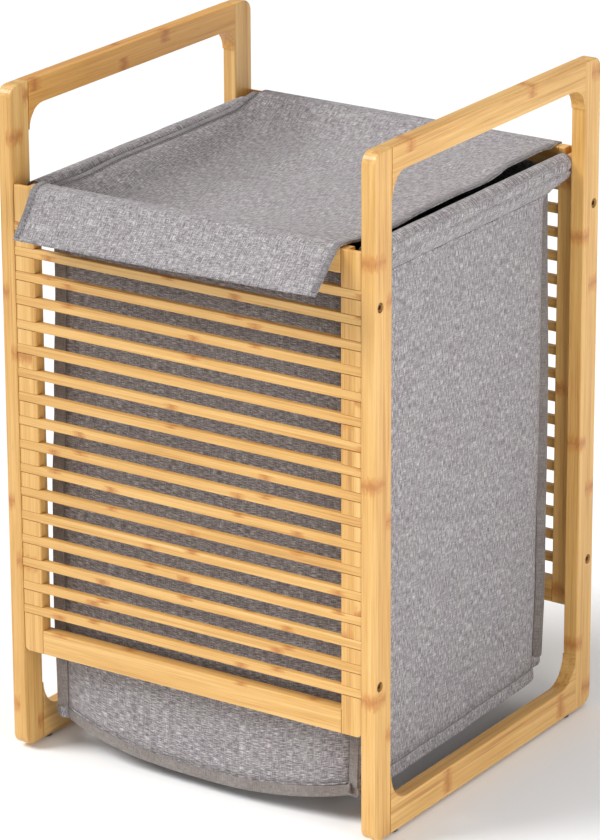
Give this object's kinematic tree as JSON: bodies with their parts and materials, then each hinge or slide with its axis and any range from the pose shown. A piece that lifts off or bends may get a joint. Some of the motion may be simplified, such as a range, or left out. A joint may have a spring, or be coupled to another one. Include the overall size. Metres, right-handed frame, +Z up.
{
  "type": "laundry hamper",
  "caption": "Free-standing laundry hamper: bamboo side frames with handle rails, slatted front and rear panels, and a lift-out cloth bag on rods with a fold-back cloth lid.",
  "frame": {"origin": "centre of the object's bounding box, on the floor", "axes": "+Z up, -Y is the front with the flap, +X to the right seen from the front"},
  "size_m": [0.376, 0.3906, 0.603],
  "materials": {
    "bamboo": "satin lacquer",
    "cloth": "melange canvas weave",
    "glide": "matte",
    "screw": "bronzed steel"
  },
  "bodies": {
    "root": {"left_front_post": "bamboo", "left_rear_post": "bamboo", "left_handle_rail": "bamboo", "left_foot_rail": "bamboo", "right_front_post": "bamboo", "right_rear_post": "bamboo", "right_handle_rail": "bamboo", "right_foot_rail": "bamboo", "front_left_stile": "bamboo", "front_right_stile": "bamboo", "front_top_rail": "bamboo", "front_bottom_rail": "bamboo", "front_slat_01": "bamboo", "front_slat_02": "bamboo", "front_slat_03": "bamboo", "front_slat_04": "bamboo", "front_slat_05": "bamboo", "front_slat_06": "bamboo", "front_slat_07": "bamboo", "front_slat_08": "bamboo", "front_slat_09": "bamboo", "front_slat_10": "bamboo", "front_slat_11": "bamboo", "front_slat_12": "bamboo", "front_slat_13": "bamboo", "front_slat_14": "bamboo", "front_slat_15": "bamboo", "front_slat_16": "bamboo", "front_slat_17": "bamboo", "rear_left_stile": "bamboo", "rear_right_stile": "bamboo", "rear_top_rail": "bamboo", "rear_bottom_rail": "bamboo", "rear_slat_01": "bamboo", "rear_slat_02": "bamboo", "rear_slat_03": "bamboo", "rear_slat_04": "bamboo", "rear_slat_05": "bamboo", "rear_slat_06": "bamboo", "rear_slat_07": "bamboo", "rear_slat_08": "bamboo", "rear_slat_09": "bamboo", "rear_slat_10": "bamboo", "rear_slat_11": "bamboo", "rear_slat_12": "bamboo", "rear_slat_13": "bamboo", "rear_slat_14": "bamboo", "rear_slat_15": "bamboo", "rear_slat_16": "bamboo", "rear_slat_17": "bamboo", "left_front_glide": "glide", "left_rear_glide": "glide", "right_front_glide": "glide", "right_rear_glide": "glide"},
    "bag": {"bag": "cloth", "left_rod": "bamboo", "right_rod": "bamboo"},
    "lid": {"lid_panel": "cloth"},
    "flap": {"lid_front_flap": "cloth"}
  },
  "joints": [
    {"name": "bag_lift", "type": "slide", "parent": "root", "child": "bag", "axis": [0, 0, 1], "range_m": [0, 0.55]},
    {"name": "lid_hinge", "type": "hinge", "parent": "bag", "child": "lid", "pos_m": [0, 0.17597, 0.523], "axis": [-1, 0, 0], "range_deg": [0, 180]},
    {"name": "flap_fold", "type": "hinge", "parent": "lid", "child": "flap", "pos_m": [0, -0.16513, 0.5213], "axis": [-1, 0, 0], "range_deg": [0, 90]}
  ]
}
